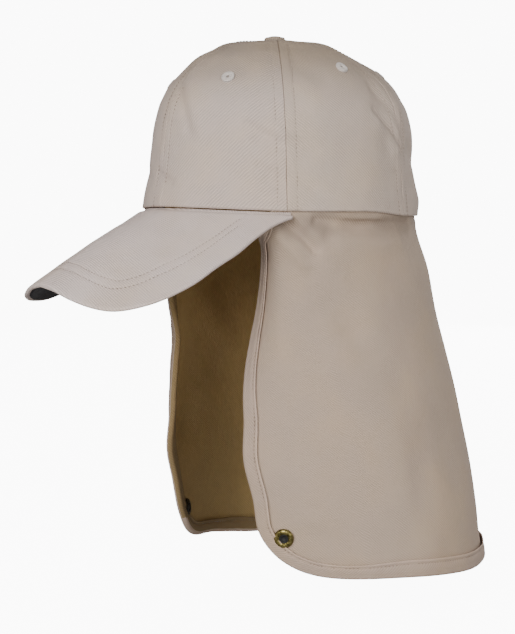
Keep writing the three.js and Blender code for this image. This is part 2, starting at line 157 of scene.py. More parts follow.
# About how wide one degree is, round the crown and round the flap
CROWN_DEGREE = 1.5
FLAP_DEGREE = 1.8
# Creases: width, how far the cloth stands out, and spots by angle in degrees and by height
# over the rim, or by how far down the flap, in millimetres
CROWN_CREASES = [
    (4, -1.1, [(-2, 88), (11, 70), (17, 54)]), (6, 0.9, [(5, 92), (17, 72), (23, 54)]),
    (3.5, -1.2, [(-3, 26), (8, 20)]), (2.6, -1.5, [(46, 57), (60, 45)]),
    (2.6, -1.3, [(50, 47), (61, 39)]), (4, 0.9, [(50, 62), (61, 51)]),
    (2.6, -1.3, [(51, 30), (61, 21)]), (2.4, -1.2, [(54, 22), (61, 14)]),
    (2.6, -1.0, [(64, 47), (75, 41)]), (2.6, -1.0, [(64, 23), (73, 16)]),
    (2.8, -2.0, [(106.5, 69), (114, 61), (118, 53), (122, 43)]),
    (5, 1.2, [(107, 59), (113, 50), (117, 42)]), (4, -1.0, [(112, 84), (120, 66), (124, 52)]),
    (3, -1.2, [(122, 43), (133, 40)]),
    (5, -1.4, [(133, 45), (142, 36)]), (8, 1.5, [(134, 27), (142, 8)]),
    (4, -1.1, [(-62, 55), (-48, 66)]), (4, -1.1, [(-66, 24), (-54, 14)]),
    (3.4, -1.4, [(-101, 90), (-113, 76), (-121, 58), (-132, 46)]), (5, -0.9, [(-30, 30), (-14, 22)]),
    (9, -1.0, [(70, 103), (82, 90)]), (9, -1.0, [(20, 100), (40, 96)]),
]
FLAP_CREASES = [
    (4.2, -3.4, [(75, 5), (84, 6), (92, 8.5), (100, 8), (110, 5.5), (126, 1)]),
    (7, 1.5, [(86, 20), (98, 22), (116, 15)]),
    (3.4, -3.6, [(61, 5), (66, 10.5), (70.5, 16), (74, 24)]), (4.5, 2.2, [(60, 15), (65, 24), (69, 34)]),
    (5, 1.4, [(68, 3), (76, 14)]), (10, -2.0, [(69, 38), (81, 76)]),
    (16, -1.7, [(83, 58), (92, 114)]), (13, 1.4, [(76, 40), (88, 66)]),
    (30, 2.0, [(124, 34), (180, 34), (236, 34)]),
    (9, 1.6, [(64, 178), (64, 204)]),
    (12, -1.3, [(100, 150), (92, 190), (84, 226)]), (4, -2.4, [(236, 9), (262, 12), (284, 8)]),
    (5, -2.4, [(297, 6), (288, 28)]), (12, -1.6, [(290, 50), (276, 84)]),
]


def row_at(table, place):
    """Rows of a table at places between its rows, on a smooth curve through them."""
    rows = np.asarray(table, float)
    place = np.asarray(place, float)
    last = len(rows) - 1
    row = np.clip(np.floor(place), 0, last - 1).astype(int)
    t = (place - row)[..., None]
    a, b, c, d = (rows[np.clip(row + step, 0, last)] for step in (-1, 0, 1, 2))
    return b + 0.5 * t * (c - a + t * (2 * a - 5 * b + 4 * c - d + t * (3 * (b - c) + d - a)))


def smooth_share(value, start, end):
    """0 up to start, 1 from end on, and smooth between them."""
    t = np.clip((value - start) / (end - start), 0, 1)
    return t * t * (3 - 2 * t)


def between(value, start, full, fading, end):
    """0 outside a stretch of values and 1 in the middle of it, with soft ends."""
    return smooth_share(value, start, full) * (1 - smooth_share(value, fading, end))


def bell(distance, width):
    """1 at no distance, and a soft fall to 0 either way."""
    return np.exp(-(distance / width) ** 2)


def fold_share(folds, angle, height):
    """How far the cloth stands out by the folds of a table."""
    total = 0
    for at, wide, level, tall, out in folds:
        total = total + out * bell(np.degrees(np.abs(angle)) - at, wide) * bell(height - level, tall)
    return total


def unit(vectors):
    return vectors / np.maximum(np.linalg.norm(vectors, axis=-1, keepdims=True), 1e-9)


def normal_at(surface, u, v):
    """Outward normals of a surface whose u runs to the wearer's left and whose v runs up."""
    step = 0.002
    across = surface(u + step, v) - surface(u - step, v)
    up = surface(u, v + step) - surface(u, v - step)
    return unit(np.cross(across, up))


def rim_level(angle):
    """Height of the crown's lower edge, by the angle from the front."""
    rise = RIM_RISE_AHEAD * (1 - smooth_share(np.abs(angle), 0, RIM_RISE_SPREAD))
    return rise - RIM_DROP_BEHIND * smooth_share(np.abs(angle), RIM_DROP_STARTS, RIM_DROP_ENDS)


def crown_point(angle, place):
    """Outside of the crown, by the angle from the front to the wearer's left."""
    angle, place = np.broadcast_arrays(angle, place)
    height, front, back = np.moveaxis(row_at(CROWN_SECTIONS, place), -1, 0)
    fold = fold_share(CROWN_FOLDS, angle, height) * CROWN_FOLD_DEPTH / HALF_LENGTH
    radius = back + (front - back) * (1 + np.cos(angle)) / 2 + fold
    return np.stack([
        HALF_WIDTH * radius * np.sin(angle),
        -HALF_LENGTH * radius * np.cos(angle) - APEX_FORWARD * height ** 2,
        CROWN_HEIGHT * height + rim_level(angle) * (1 - height) ** 2,
    ], -1)


def crown_normal(angle, place):
    """The crown's outward normals, level at the rim."""
    normal = normal_at(crown_point, angle, place)
    flat = np.where(place < 1, np.maximum(place, 0), 1)
    return unit(normal * np.stack([np.ones_like(flat), np.ones_like(flat), flat], -1))


def peak_point(share, out):
    """Top of the peak, by share from its right end at -1 to its left end at 1, and outward."""
    share, out = np.broadcast_arrays(share, out)
    rim = crown_point(share * PEAK_HALF_ANGLE, np.zeros_like(share))
    side, ahead, drop = np.moveaxis(row_at(PEAK_EDGE, np.abs(share) * (len(PEAK_EDGE) - 1)), -1, 0)
    reach = np.stack([np.sign(share) * side * PEAK_SIDE_REACH,
                      -ahead * PEAK_LENGTH, -drop * PEAK_DROP], -1)
    bulge = 4 * PEAK_BULGE * ahead ** 2 * out * (1 - out)
    roll = PEAK_ROLL * bell(share - PEAK_ROLL_AT, PEAK_ROLL_SPREAD)
    roll = roll - PEAK_TIP_LIFT * bell(share - PEAK_TIP_AT, PEAK_TIP_SPREAD)
    rim[..., 2] += bulge - PIECE_GAP - roll * out ** 2
    return rim + reach * out[..., None]


def peak_normal(share, out):
    return normal_at(lambda u, v: peak_point(u, -v), share, -out)


def hem_depth(angle):
    """How far down the hem hangs, by the angle from the front."""
    corner = np.minimum((angle - FLAP_START) / CORNER_SPREAD, 1)
    sag = HEM_SAG * smooth_share(angle, HEM_SAG_STARTS, HEM_SAG_ENDS)
    return FLAP_DROP - CORNER_RISE * (1 - corner) ** CORNER_POWER + sag


def far_hem_sag(angle):
    """How much lower the hem hangs at the wearer's right, by the angle from the front."""
    lift = FAR_CORNER_LIFT * bell(angle - FAR_CORNER_AT, FAR_CORNER_SPREAD)
    return FAR_HEM_SAG * between(angle, *FAR_HEM_ANGLES) - lift


def flap_point(angle, place):
    """Outside of the flap, which mirrors beyond the back."""
    angle, place = np.broadcast_arrays(angle, place)
    over = angle > math.pi
    a = np.where(over, 2 * math.pi - angle, angle)
    hem = hem_depth(a) + np.where(over, far_hem_sag(a), 0)
    zero = np.zeros_like(a)
    depth = PANEL_WALL + FLAP_LAP_GAP
    rim = crown_point(a, zero) - crown_normal(a, zero) * depth
    lap = crown_point(a, zero + 1) - crown_normal(a, zero + 1) * depth
    level, flare, deepen, back, inward, ahead = np.moveaxis(
        row_at(FLAP_SECTIONS, np.maximum(place, 0)), -1, 0)
    to_edge = np.maximum(0, (math.pi / 2 - a) / (math.pi / 2 - FLAP_START)) ** 2
    fold = fold_share(FLAP_FOLDS, a, level) * FLAP_FOLD_DEPTH
    wide = 1 + (flare * FLAP_SIDE_FLARE + fold) / (HEAD_WIDTH / 2)
    long = 1 + (deepen * FLAP_DEEPENING + fold) / (HEAD_LENGTH / 2)
    below = np.stack([
        rim[..., 0] * wide - inward * EDGE_INWARD * to_edge,
        rim[..., 1] * long + back * FLAP_BACK_SET - ahead * EDGE_AHEAD * to_edge,
        rim[..., 2] + (-hem - rim[..., 2]) * level,
    ], -1)
    above = rim + (lap - rim) * np.maximum(-place, 0)[..., None]
    point = np.where((place < 0)[..., None], above, below)
    return point * np.stack([np.where(over, -1, 1), np.ones_like(a), np.ones_like(a)], -1)


def flap_normal(angle, place):
    normal = normal_at(lambda u, v: flap_point(u, -v), angle, -place)
    flat = np.where(place <= 0, 0, 1)
    ones = np.ones_like(normal[..., 0])
    return unit(normal * np.stack([ones, ones, flat * ones], -1))


def angle_in(length, place):
    """The flap's angle a length in from its front edge."""
    step = 0.01
    stride = np.linalg.norm(flap_point(FLAP_START + step, place) - flap_point(FLAP_START, place), axis=-1)
    return FLAP_START + length * step / stride


def waves(u, v, seed, count, longest, shortest):
    """Soft unevenness of cloth, about -1 to 1: a sum of waves that cross at many angles."""
    draw = np.random.default_rng(seed)
    total = np.zeros(np.broadcast(u, v).shape)
    for n in range(count):
        length = longest * (shortest / longest) ** (n / max(count - 1, 1))
        turn, phase = draw.uniform(0, 2 * math.pi, 2)
        along = (u * math.cos(turn) + v * math.sin(turn)) * 2 * math.pi / length
        total += np.sin(along + phase) * (length / longest) ** 0.6
    return total / count ** 0.5


def creases(marks, angle, height, per_degree):
    """How far cloth stands out by its creases, each of a width along a line of spots."""
    across = np.degrees(angle) * per_degree
    total = 0
    for wide, out, spots in marks:
        nearest = np.full(np.shape(across + height), np.inf)
        for (from_angle, from_height), (to_angle, to_height) in zip(spots, spots[1:]):
            along, rise = (to_angle - from_angle) * per_degree, to_height - from_height
            side, up = across - from_angle * per_degree, height - from_height
            share = np.clip((side * along + up * rise) / (along ** 2 + rise ** 2), 0, 1)
            nearest = np.minimum(nearest, np.hypot(side - share * along, up - share * rise))
        total = total + out * bell(nearest, wide)
    return total


# Materials


class Value:
    """What a node gives out. An expression on it adds Math nodes."""

    def __init__(self, look, socket):
        self.look, self.socket = look, socket

    def math(self, operation, *inputs):
        return self.look.node("ShaderNodeMath", {"operation": operation}, inputs)

    def __add__(self, other):
        return self.math("ADD", self, other)

    def __sub__(self, other):
        return self.math("SUBTRACT", self, other)

    def __rsub__(self, other):
        return self.math("SUBTRACT", other, self)

    def __mul__(self, other):
        return self.math("MULTIPLY", self, other)

    __radd__ = __add__
    __rmul__ = __mul__

    def sine(self):
        return self.math("SINE", self)

    def ramp(self, start, end):
        """0 up to start, 1 from end on, and smooth between them."""
        return self.look.node("ShaderNodeMapRange", {"interpolation_type": "SMOOTHSTEP"},
                              {"Value": self, "From Min": start, "From Max": end})


class Look:
    """A material: plain values sit on the shader's own sockets, and fields feed the rest."""

    def __init__(self, name, colour, **plain):
        self.material = bpy.data.materials.new(name)
        self.material.use_nodes = True
        self.nodes = self.material.node_tree.nodes
        self.links = self.material.node_tree.links
        self.nodes.clear()
        self.shader = self.nodes.new("ShaderNodeBsdfPrincipled")
        output = self.nodes.new("ShaderNodeOutputMaterial")
        self.links.new(self.shader.outputs["BSDF"], output.inputs["Surface"])
        self.shader.inputs["Base Color"].default_value = (*colour, 1)
        for socket, value in plain.items():
            self.shader.inputs[socket.replace("_", " ")].default_value = value

    def node(self, kind, settings=None, inputs=None, output=0):
        made = self.nodes.new(kind)
        for setting, value in (settings or {}).items():
            setattr(made, setting, value)
        inputs = inputs or {}
        pairs = inputs.items() if isinstance(inputs, dict) else enumerate(inputs)
        for socket, value in pairs:
            if isinstance(value, Value):
                self.links.new(value.socket, made.inputs[socket])
            else:
                made.inputs[socket].default_value = value
        return Value(self, made.outputs[output])

    def feed(self, socket, value):
        self.links.new(value.socket, self.shader.inputs[socket])

    def parts(self, vector):
        """The three numbers of a vector."""
        split = self.node("ShaderNodeSeparateXYZ", None, {"Vector": vector})
        return [Value(self, socket) for socket in split.socket.node.outputs]

    def along(self, layer="cloth"):
        """The piece's own UV map, in metres along its cloth."""
        return self.node("ShaderNodeUVMap", {"uv_map": layer})

    def place(self):
        return self.node("ShaderNodeTexCoord", output="Object")

    def noise(self, vector, per_metre, detail=2.0, roughness=0.5):
        return self.node("ShaderNodeTexNoise", None, {
            "Vector": vector, "Scale": per_metre, "Detail": detail, "Roughness": roughness})

    def blend(self, share, first, second):
        """A colour between two: each a colour or a field of colours."""
        pick = {0: share}
        for socket, colour in ((6, first), (7, second)):
            pick[socket] = colour if isinstance(colour, Value) else (*colour, 1)
        return self.node("ShaderNodeMix", {"data_type": "RGBA"}, pick, 2)

    def bump(self, height, depth, below=None):
        """Relief of a depth in millimetres, over another relief if there is one."""
        inputs = {"Strength": 1.0, "Distance": depth * METRES, "Height": height}
        if below:
            inputs["Normal"] = below
        return self.node("ShaderNodeBump", None, inputs)


def linear(red, green, blue):
    """A screen colour, each part from 0 to 255, as the light it stands for."""
    return tuple(
        part / 255 / 12.92 if part <= 10 else ((part / 255 + 0.055) / 1.055) ** 2.4
        for part in (red, green, blue))


# Heights in metres from which painted shade or painted light begins to where it is full: painted shade
# high on the crown, painted light towards the rim, and painted shade under the rim that fades out at the
# rim
PAINTED_TOP_SHADE = (0.065, 0.12)
PAINTED_LIGHT_HEIGHTS = (-0.2, -0.04)
PAINTED_RIM_SHADE_STARTS = (-0.022, -0.008)
PAINTED_RIM_SHADE_FADES = (-0.004, 0.002)


def twill(name, colour, tan, lean, wale=1.5, contrast=0.13, relief=0.2, painted_highlight_from=0.0,
          painted_light_share=0.0, under_rim_painted_shade=0.0):
    """Cotton twill: slanting wales, fibres, slubs, a tan cast in soft patches, and painted shade that
    darkens it and turns it tan high up. A lean of 1 climbs to the wearer's left and -1 to the right.
    Past a distance up the cloth it is paler, a painted highlight; by its share of painted light it is
    paler near the rim; and by its share of painted shade it is darker in patches just under the rim."""
    look = Look(name, colour, Roughness=0.9)
    cloth = look.along()
    across, up, _ = look.parts(cloth)
    place = look.place()
    drift = look.noise(cloth, 160, 1.0) - 0.5
    turn = 2 * math.pi / (wale * METRES * math.sqrt(2))
    worn = look.noise(place, 75, 2.0).ramp(0.3, 0.65) * 0.65 + 0.45
    ridge = ((across - up * lean) * turn + drift * 2.4).sine() * worn
    fibre = look.noise(look.node("ShaderNodeVectorMath", {"operation": "MULTIPLY"},
                                 (cloth, (1.0, 0.22, 1.0))), 1900, 2.0) - 0.5
    slub = look.noise(cloth, 1300, 3.0, 0.6) - 0.5
    patch = look.noise(place, 22, 3.0, 0.55)
    rise = look.parts(place)[2]
    # painted shade: by this share the cloth darkens and turns tan high on the crown
    high = rise.ramp(*PAINTED_TOP_SHADE)
    shade = 1 + ridge * contrast + slub * (contrast * 2) + fibre * contrast + (patch - 0.5) * 0.2
    shade = shade - high * 0.44
    # painted shade: darker patches in a band just under the crown's rim
    if under_rim_painted_shade:
        painted_shade_band = rise.ramp(*PAINTED_RIM_SHADE_STARTS) * (1 - rise.ramp(*PAINTED_RIM_SHADE_FADES))
        shade = shade - painted_shade_band * look.noise(place, 30, 2.0).ramp(0.35, 0.6) * under_rim_painted_shade
    # painted light: the cloth is paler towards the rim, by this share
    if painted_light_share:
        shade = shade + rise.ramp(*PAINTED_LIGHT_HEIGHTS) * painted_light_share
    # painted highlight: paler past this distance up the cloth, along the binding's inner ridge
    if painted_highlight_from:
        shade = shade + up.ramp(painted_highlight_from, painted_highlight_from + 0.0003) * 0.35
    # the tan in soft patches is the cloth's own tone; the tan high up is painted shade
    warm = look.blend(patch.ramp(0.35, 0.8) * 0.5 + high * 0.6, colour, tan)
    shaded = look.node("ShaderNodeVectorMath", {"operation": "SCALE"}, {0: warm, "Scale": shade})
    look.feed("Base Color", shaded)
    weave = ridge * 0.5 + fibre * 0.7 + slub * 0.5
    under = look.bump(look.noise(place, 90, 2.0), 0.5)
    look.feed("Normal", look.bump(weave, relief, under))
    look.feed("Roughness", 0.88 + slub * 0.12)
    return look.material


STONE = linear(182, 166, 156)
STONE_TAN = linear(184, 162, 138)
FLAP_STONE = linear(168, 148, 131)
FLAP_TAN = linear(170, 146, 118)

front_twill = twill("stone_twill_front", STONE, STONE_TAN, 1, wale=1.85)
side_twill = twill("stone_twill_side", linear(181, 164, 151), STONE_TAN, -1)
# painted light: the peak's twill is paler than the crown's same cloth
peak_painted_light_twill = twill("stone_twill_painted_light_peak", linear(200, 184, 177), STONE_TAN, -1)
flap_twill = twill("stone_twill_flap", FLAP_STONE, FLAP_TAN, -1, relief=0.12, under_rim_painted_shade=0.3)
# the inner faces are a darker brown: partly the twill's own reverse, partly painted shade
flap_inner_face_painted_shade = twill("stone_twill_inner_face_painted_shade", linear(160, 134, 88), linear(146, 118, 72), 1, painted_light_share=0.6)
binding_inner_face_painted_shade = twill("stone_twill_binding_inner_face_painted_shade", linear(122, 101, 68), linear(112, 90, 58), 1,
                        painted_light_share=0.6)
binding_twill = twill("stone_twill_binding", linear(167, 146, 131), FLAP_TAN, 1, painted_highlight_from=0.0091)
black_twill = twill("black_twill", linear(30, 25, 29), linear(24, 20, 23), 1, contrast=0.25)


def thread_look(name, colour, twist=0.5):
    """Sewing thread: two plies that wind round each other."""
    look = Look(name, colour, Roughness=0.62, Sheen_Weight=0.3)
    across, up, depth = look.parts(look.place())
    ply = ((across + up + depth) * (2 * math.pi / (twist * METRES))).sine()
    fuzz = look.noise(look.place(), 3000, 2.0) - 0.5
    shade = 1 + ply * 0.08 + fuzz * 0.25
    look.feed("Base Color", look.node("ShaderNodeVectorMath", {"operation": "SCALE"},
                                      {0: (*colour,), "Scale": shade}))
    look.feed("Normal", look.bump(ply * 0.5 + fuzz, 0.08))
    return look.material


crown_thread = thread_look("stone_thread", linear(138, 120, 104))
binding_thread = thread_look("binding_thread", linear(112, 94, 78))
eyelet_thread = thread_look("pale_eyelet_thread", linear(196, 186, 178), 0.6)


def brass_look(name, bright, dark):
    """Antique brass: dark tarnish in soft clouds and specks, bright between them."""
    look = Look(name, bright, Metallic=1.0)
    place = look.place()
    cloud = look.noise(place, 420, 4.0, 0.6)
    speck = look.noise(place, 2600, 2.0)
    tarnish = (cloud * 0.8 + speck * 0.35).ramp(0.42, 0.72)
    look.feed("Base Color", look.blend(tarnish, bright, dark))
    look.feed("Roughness", 0.30 + tarnish * 0.28)
    look.feed("Normal", look.bump(cloud + speck * 0.5, 0.05))
    return look.material


ring_brass = brass_look("antique_brass", linear(158, 144, 88), linear(64, 57, 28))
# painted shade: near-black for the hollow middle of each snap ring
snap_hollow_painted_shade = Look("painted_shade_snap_hollow", linear(17, 15, 12), Roughness=0.7).material
socket_brass = brass_look("dark_brass", linear(30, 27, 18), linear(14, 12, 9))


# Pieces


def wear(piece, *materials):
    """Gives a piece its materials."""
    piece.data.materials.clear()
    for material in materials:
        piece.data.materials.append(material)


def settle(piece, slot, *nodes):
    """Says what a piece rides and the CAD nodes that it takes the place of; its slot is not used."""
    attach(piece, "root")
    if nodes:
        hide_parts(*nodes)


def piece_from(name, form):
    """A smooth-shaded object at the origin from a bmesh in millimetres."""
    mesh = bpy.data.meshes.new(name)
    bmesh.ops.scale(form, vec=(METRES,) * 3, verts=form.verts)
    form.to_mesh(mesh)
    form.free()
    mesh.polygons.foreach_set("use_smooth", [True] * len(mesh.polygons))
    piece = bpy.data.objects.new(name, mesh)
    bpy.context.scene.collection.objects.link(piece)
    return piece


def cloth_from(name, points, along, wall=0.0):
    """A sheet whose rows and columns of points come from a function, with a UV map in metres."""
    rows, columns = points.shape[0] - 1, points.shape[1] - 1
    form = bmesh.new()
    bmesh.ops.create_grid(form, x_segments=columns, y_segments=rows, size=0.5)
    layer = form.loops.layers.uv.new("cloth")
    for vertex in form.verts:
        column = round((vertex.co.x + 0.5) * columns)
        row = round((vertex.co.y + 0.5) * rows)
        vertex.co = points[row, column]
        for loop in vertex.link_loops:
            loop[layer].uv = along[row, column] * METRES
    piece = piece_from(name, form)
    if wall:
        thick = piece.modifiers.new("wall", "SOLIDIFY")
        thick.thickness = wall * METRES
        thick.offset = -1
        thick.use_even_offset = False
    return piece


def travelled(points, axis):
    """Distance run along the rows or columns of a grid of points, from 0."""
    steps = np.linalg.norm(np.diff(points, axis=axis), axis=-1)
    start = np.zeros_like(np.take(steps, [0], axis=axis))
    return np.concatenate([start, np.cumsum(steps, axis=axis)], axis=axis)


def even_places(surface, start, end, count):
    """Places between two that lie evenly along a line of a surface."""
    fine = np.linspace(start, end, 600)
    run = travelled(surface(fine), 0)
    return np.interp(np.linspace(0, run[-1], count), run, fine)


stitches = []


def sew(points, normals, spacing=2.7, length=1.7, width=0.42, rise=0.06):
    """Notes a row of stitches along points, each seated on the cloth with its normal."""
    run = travelled(points, 0)
    for middle in np.arange(spacing / 2, run[-1] - spacing / 2, spacing):
        ends = [np.array([np.interp(middle + half * length / 2, run, points[:, k]) for k in range(3)])
                for half in (-1, 1)]
        up = unit(np.array([np.interp(middle, run, normals[:, k]) for k in range(3)]))
        stitches.append((ends[0] + up * rise, ends[1] + up * rise, up, width))


def stitching(name, material):
    """All stitches noted so far as one piece, each a small flattened loop of thread."""
    single = bmesh.new()
    bmesh.ops.create_uvsphere(single, u_segments=8, v_segments=4, radius=1)
    loop = bpy.data.meshes.new("stitch")
    single.to_mesh(loop)
    single.free()
    form = bmesh.new()
    for start, end, up, width in stitches:
        ahead = Vector(end - start)
        side = Vector(up).cross(ahead).normalized()
        lift = ahead.normalized().cross(side)
        turn = Matrix((ahead / 2, side * width / 2, lift * width / 2)).transposed().to_4x4()
        turn.translation = Vector((start + end) / 2)
        one = loop.copy()
        one.transform(turn)
        form.from_mesh(one)
        bpy.data.meshes.remove(one)
    stitches.clear()
    bpy.data.meshes.remove(loop)
    piece = piece_from(name, form)
    wear(piece, material)
    return piece


# Crown


STITCH_FROM_SEAM = 6.0
STITCH_LEAST_RADIUS = 9
SEAM_ROLL = 0.6
SEAM_TURN_IN = 2.6
HEM_ROLL = 1.2
HEM_LIFT = 0.4
# How closely a panel's columns lie at its seams, and the depths of its relief
SEAM_CROWDING = 0.62
SEAM_PROUD = 0.30
SEAM_PUCKER = 0.28
STITCH_SINK = 0.34
PANEL_UNEVENNESS = 0.55
# A panel narrower than this has narrower allowances
ALLOWANCE_SHRINKS_BELOW = 9


def panel_cloth(name, start, end, seed, material):
    """A panel between two seams, its edges rolled in where they are sewn."""
    rows, inner = 112, 84
    middle = (start + end) / 2
    places = even_places(lambda p: crown_point(middle, p), 0, len(CROWN_SECTIONS) - 1, rows + 1)
    place = places[:, None]
    radius = np.linalg.norm(crown_point(middle, places)[:, :2] + [0, APEX_FORWARD], axis=-1)[:, None]
    width = radius * (end - start)
    # across the panel: the turned-in allowance, the roll, then the face and the same again
    roll = np.linspace(0, math.pi / 2, 4)[1:]
    lateral = np.concatenate([[0, 0], SEAM_ROLL * (1 - np.cos(roll))])
    depth = np.concatenate([[SEAM_TURN_IN, SEAM_ROLL], SEAM_ROLL * (1 - np.sin(roll))])
    share = np.linspace(0, 1, inner + 1)[1:-1]
    share = share - SEAM_CROWDING * np.sin(2 * math.pi * share) / (2 * math.pi)
    shrink = np.minimum(1, width / ALLOWANCE_SHRINKS_BELOW)
    edge = (lateral * shrink + PIECE_GAP / 4) / np.maximum(radius, 0.1)
    face = edge[:, -1:] + (end - start - 2 * edge[:, -1:]) * share
    angle = start + np.concatenate([edge, face, (end - start) - edge[:, ::-1]], 1)
    depth = np.concatenate([depth, np.zeros(len(share)), depth[::-1]]) * shrink
    point = crown_point(angle, place + 0 * angle)
    normal = crown_normal(angle, place + 0 * angle)
    from_seam = np.minimum(angle - start, end - angle) * radius
    up = travelled(point, 0)
    across = (angle - middle) * radius
    # the double cloth beside the seam stands proud, and each stitch row sinks into it
    fade = smooth_share(radius, 5, 22)
    relief = SEAM_PROUD * (1 - smooth_share(from_seam, STITCH_FROM_SEAM, STITCH_FROM_SEAM + 1.4))
    relief = relief - STITCH_SINK * bell(from_seam - STITCH_FROM_SEAM, 0.8)
    ripple = waves(up, across * 0.15, seed, 5, 17, 6) * bell(from_seam - STITCH_FROM_SEAM, 5.5)
    relief = relief + SEAM_PUCKER * ripple
    relief = relief + PANEL_UNEVENNESS * waves(across, up, seed + 50, 7, 95, 24)
    relief = relief + creases(CROWN_CREASES, angle, point[..., 2], CROWN_DEGREE)
    relief = relief * fade
    point = point + normal * (relief - depth)[..., None]
    # the lower edge is turned up inside
    turned_up, ups = [point[1] - normal[0] * (2 * HEM_ROLL)], [-HEM_ROLL * math.pi - point[1][:, 2]]
    for turn in np.radians(np.linspace(180, 30, 6)):
        turned_up.append(point[0] - normal[0] * (HEM_ROLL * (1 - math.cos(turn)))
                         - np.array([0, 0, HEM_ROLL * (math.sin(turn) - 1) - HEM_LIFT]))
        ups.append(-HEM_ROLL * turn + 0 * up[0])
    point = np.concatenate([np.array(turned_up), point[1:]])
    up = np.concatenate([np.array(ups), up[1:]])
    across = np.concatenate([np.repeat(across[:1], len(ups), 0), across[1:]])
    piece = cloth_from(f"crown_{name}", point, np.stack([across, up], -1), 0.8)
    wear(piece, material)
    settle(piece, "twill", f"crown_panel_{name}")
    # one stitch row each side, inside the seams
    wide_enough = places[radius[:, 0] > STITCH_LEAST_RADIUS]
    for seam, sign in ((start, 1), (end, -1)):
        at = seam + sign * STITCH_FROM_SEAM / np.interp(wide_enough, places, radius[:, 0])
        sew(crown_point(at, wide_enough), crown_normal(at, wide_enough))


SIDES = (("left", 1), ("right", -1))
for side, sign in SIDES:
    for panel, part in enumerate(EYELETS):
        ends = sorted((sign * SEAMS[panel], sign * SEAMS[panel + 1]))
        look = front_twill if part == "front" else side_twill
        panel_cloth(f"{part}_{side}", *ends, 10 * panel + (3 if sign > 0 else 7), look)


def turned(name, profile, steps, point, normal, ripple=None):
    """A round piece from an outline of radius and height, spun about its axis and seated."""
    form = bmesh.new()
    line = [form.verts.new((radius, 0, height)) for radius, height in profile]
    for a, b in zip(line, line[1:]):
        form.edges.new((a, b))
    bmesh.ops.spin(form, geom=form.verts[:] + form.edges[:], cent=(0, 0, 0), axis=(0, 0, 1),
                   angle=2 * math.pi, steps=steps, use_merge=True)
    bmesh.ops.remove_doubles(form, verts=form.verts, dist=1e-4)
    bmesh.ops.recalc_face_normals(form, faces=form.faces)
    if ripple:
        for vertex in form.verts:
            vertex.co += ripple(vertex.co)
    turn = Vector((0, 0, 1)).rotation_difference(Vector(normal)).to_matrix().to_4x4()
    turn.translation = Vector(point)
    bmesh.ops.transform(form, matrix=turn, verts=form.verts)
    return piece_from(name, form)


def arc(radius, height, across, tall, start, end, count):
    """Points of an outline on part of an ellipse, in degrees from its outer side."""
    turns = np.radians(np.linspace(start, end, count))
    return [(radius + across * math.cos(t), height + tall * math.sin(t)) for t in turns]


EYELET_MIDDLE = 2.75
EYELET_BAND = 1.75
EYELET_RISE = 0.75
EYELET_OUTSIDE = 0.35
EYELET_INSIDE = -1.85
EYELET_STITCHES = 26


def eyelet(name, angle, place):
    """An embroidered ring: close satin stitches round a small hole, on both faces."""
    def satin(co):
        turn = math.atan2(co.y, co.x)
        out = abs(math.sin(turn * EYELET_STITCHES)) - 0.5
        lift = 0.10 * out * (1 if co.z > (EYELET_OUTSIDE + EYELET_INSIDE) / 2 else -1)
        reach = 0.12 * out
        radius = math.hypot(co.x, co.y)
        return Vector((co.x / radius * reach, co.y / radius * reach, lift))

    outline = arc(EYELET_MIDDLE, EYELET_OUTSIDE, EYELET_BAND, EYELET_RISE, -20, 200, 9)
    outline += arc(EYELET_MIDDLE, EYELET_INSIDE, EYELET_BAND, EYELET_RISE, 160, 380, 9)
    outline.append(outline[0])
    piece = turned(name, outline, 104, crown_point(angle, place), crown_normal(angle, place), satin)
    wear(piece, eyelet_thread)
    return piece


for side, sign in SIDES:
    for panel, (part, (across, row)) in enumerate(EYELETS.items()):
        angle = sign * (SEAMS[panel] + (SEAMS[panel + 1] - SEAMS[panel]) * across)
        ring = eyelet(f"embroidered_eyelet_{part}_{side}", np.array(angle), np.array(row))
        settle(ring, "eyelet_thread", f"eyelet_{part}_{side}")


def button():
    """The top button: a domed disc under gathered cloth, on its shank."""
    half = BUTTON_WIDTH / 2

    def gathers(co):
        turn = math.atan2(co.y, co.x)
        radius = math.hypot(co.x, co.y)
        if co.z < 0 or radius < 1:
            return Vector((0, 0, 0))
        fold = 0.16 * math.sin(turn * 11 + math.sin(turn * 3)) * (radius / half) ** 3
        return Vector((co.x / radius * fold, co.y / radius * fold, 0.05 * fold))

    outline = [(1.3, -2.4), (1.3, 0.1), (half * 0.9, 0.1)]
    outline += arc(half - 1.6, 2.1, 1.9, 2.0, -75, 55, 12)
    dome = [(math.cos(t) * half * 0.72, 3.6 + 1.2 * math.sin(t))
            for t in np.radians(np.linspace(15, 90, 9))]
    outline += dome[:-1] + [(0, dome[-1][1])]
    top = crown_point(np.array(0.0), np.array(len(CROWN_SECTIONS) - 1.0))
    top = np.array([0, -APEX_FORWARD, top[2]])
    piece = turned("covered_top_button", outline, 64, top, (0, 0, 1), gathers)
    layer = piece.data.uv_layers.new(name="cloth")
    for loop in piece.data.loops:
        co = piece.data.vertices[loop.vertex_index].co
        layer.data[loop.index].uv = (co.x, co.y)
    wear(piece, side_twill)
    settle(piece, "twill", "top_button")


button()

# Peak

PEAK_EDGE_ROLL = 1.35
PEAK_GRAIN = math.radians(-50)
PEAK_UNEVENNESS = 0.35
PEAK_STITCH_SINK = 0.5
PEAK_RIM_DIP = 1.6
# How far the two stitch rows lie in from the edge, at shares of the way to the peak's end
PEAK_STITCH_SHARES = (0, 0.15, 0.27, 0.36, 0.42, 0.55, 0.72)
PEAK_STITCH_ROWS = ((17.5, 18.2, 16.8, 21.9, 26.5, 31.5, 35), (24.6, 24.2, 23.9, 31.5, 37, 42, 44))


def stitch_inset(row, share):
    """How far in from the peak's edge a stitch row lies."""
    return np.interp(np.abs(share), PEAK_STITCH_SHARES, row)


def peak_width(share):
    """How far the peak reaches from the rim to its edge."""
    reach = peak_point(share, np.ones_like(share)) - peak_point(share, np.zeros_like(share))
    return np.linalg.norm(reach, axis=-1)


